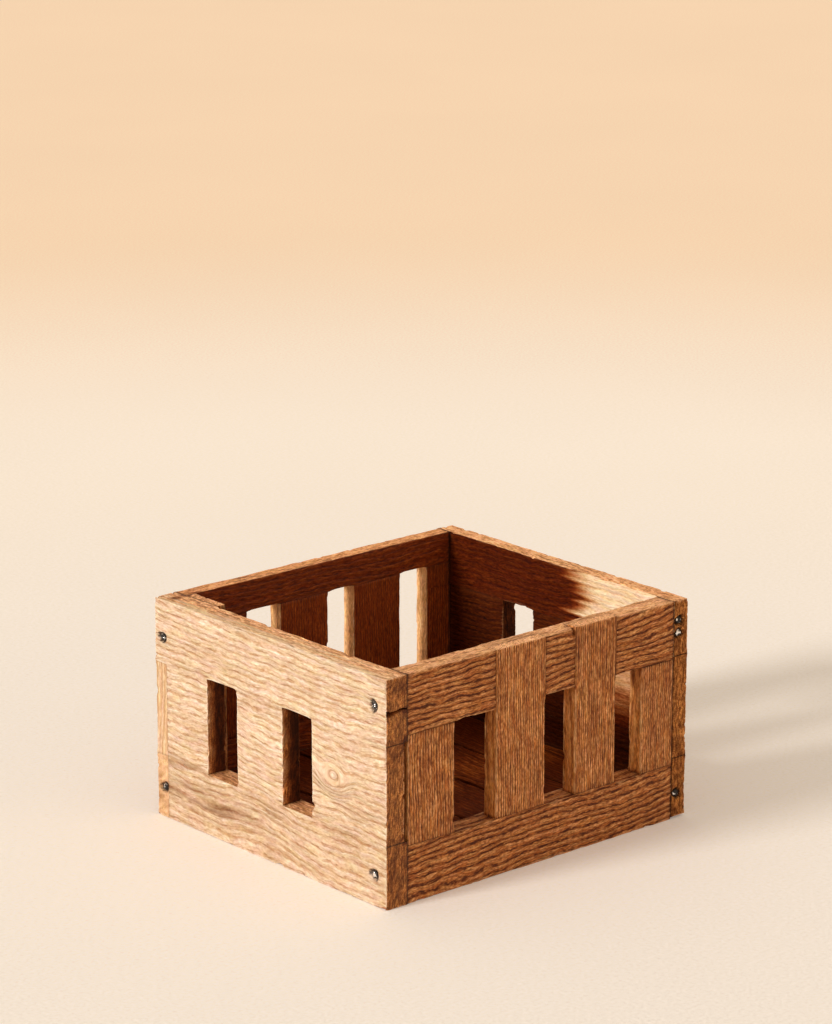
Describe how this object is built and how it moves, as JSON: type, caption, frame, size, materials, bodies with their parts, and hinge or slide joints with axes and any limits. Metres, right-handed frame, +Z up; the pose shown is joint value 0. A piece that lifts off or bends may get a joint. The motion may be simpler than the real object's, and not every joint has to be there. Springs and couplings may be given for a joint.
{
  "type": "wine cradle",
  "caption": "Low open timber crate that holds bottles upright: framed walls with tall slots, a slatted floor and nailed corners.",
  "frame": {"origin": "middle of the footprint, on the surface that the crate stands on", "axes": "+Z up; +X along the front wall towards the right wall; the front wall faces -Y and the pale left wall faces -X"},
  "size_m": [0.225, 0.2, 0.1308],
  "materials": {
    "front_timber": "brushed, oiled brown, open grain",
    "left_timber": "brushed, pale tan, open grain",
    "right_timber": "brushed, warm brown, open grain",
    "back_timber": "brushed, orange brown, open grain",
    "floor_timber": "sawn, dull brown",
    "nail_steel": "dark, worn, slightly rusted"
  },
  "bodies": {
    "root": {"front_top_rail": "front_timber", "front_bottom_rail": "front_timber", "front_slat_1": "front_timber", "front_slat_2": "front_timber", "front_slat_3": "front_timber", "front_slat_4": "front_timber", "left_top_rail": "left_timber", "left_bottom_rail": "left_timber", "left_block_1": "left_timber", "left_block_2": "left_timber", "left_block_3": "left_timber", "right_top_rail": "right_timber", "right_bottom_rail": "right_timber", "right_block_1": "right_timber", "right_block_2": "right_timber", "right_block_3": "right_timber", "back_top_rail": "back_timber", "back_bottom_rail": "back_timber", "back_slat_1": "back_timber", "back_slat_2": "back_timber", "back_slat_3": "back_timber", "back_slat_4": "back_timber", "corner_block": "left_timber", "front_ledger": "floor_timber", "back_ledger": "floor_timber", "floor_board_1": "floor_timber", "floor_board_2": "floor_timber", "floor_board_3": "floor_timber", "floor_board_4": "floor_timber", "floor_board_5": "floor_timber", "left_nail_1": "nail_steel", "left_nail_2": "nail_steel", "left_nail_3": "nail_steel", "left_nail_4": "nail_steel", "right_nail_1": "nail_steel", "right_nail_2": "nail_steel", "right_nail_3": "nail_steel", "front_nail_1": "nail_steel", "front_nail_2": "nail_steel", "front_nail_3": "nail_steel", "back_nail_1": "nail_steel", "back_nail_2": "nail_steel", "front_floor_brad_1": "nail_steel", "front_floor_brad_2": "nail_steel", "front_floor_brad_3": "nail_steel", "front_floor_brad_4": "nail_steel", "front_floor_brad_5": "nail_steel", "back_floor_brad_1": "nail_steel", "back_floor_brad_2": "nail_steel", "back_floor_brad_3": "nail_steel", "back_floor_brad_4": "nail_steel", "back_floor_brad_5": "nail_steel", "front_ledger_pin_1": "nail_steel", "front_ledger_pin_2": "nail_steel", "back_ledger_pin_1": "nail_steel", "back_ledger_pin_2": "nail_steel"}
  },
  "joints": []
}
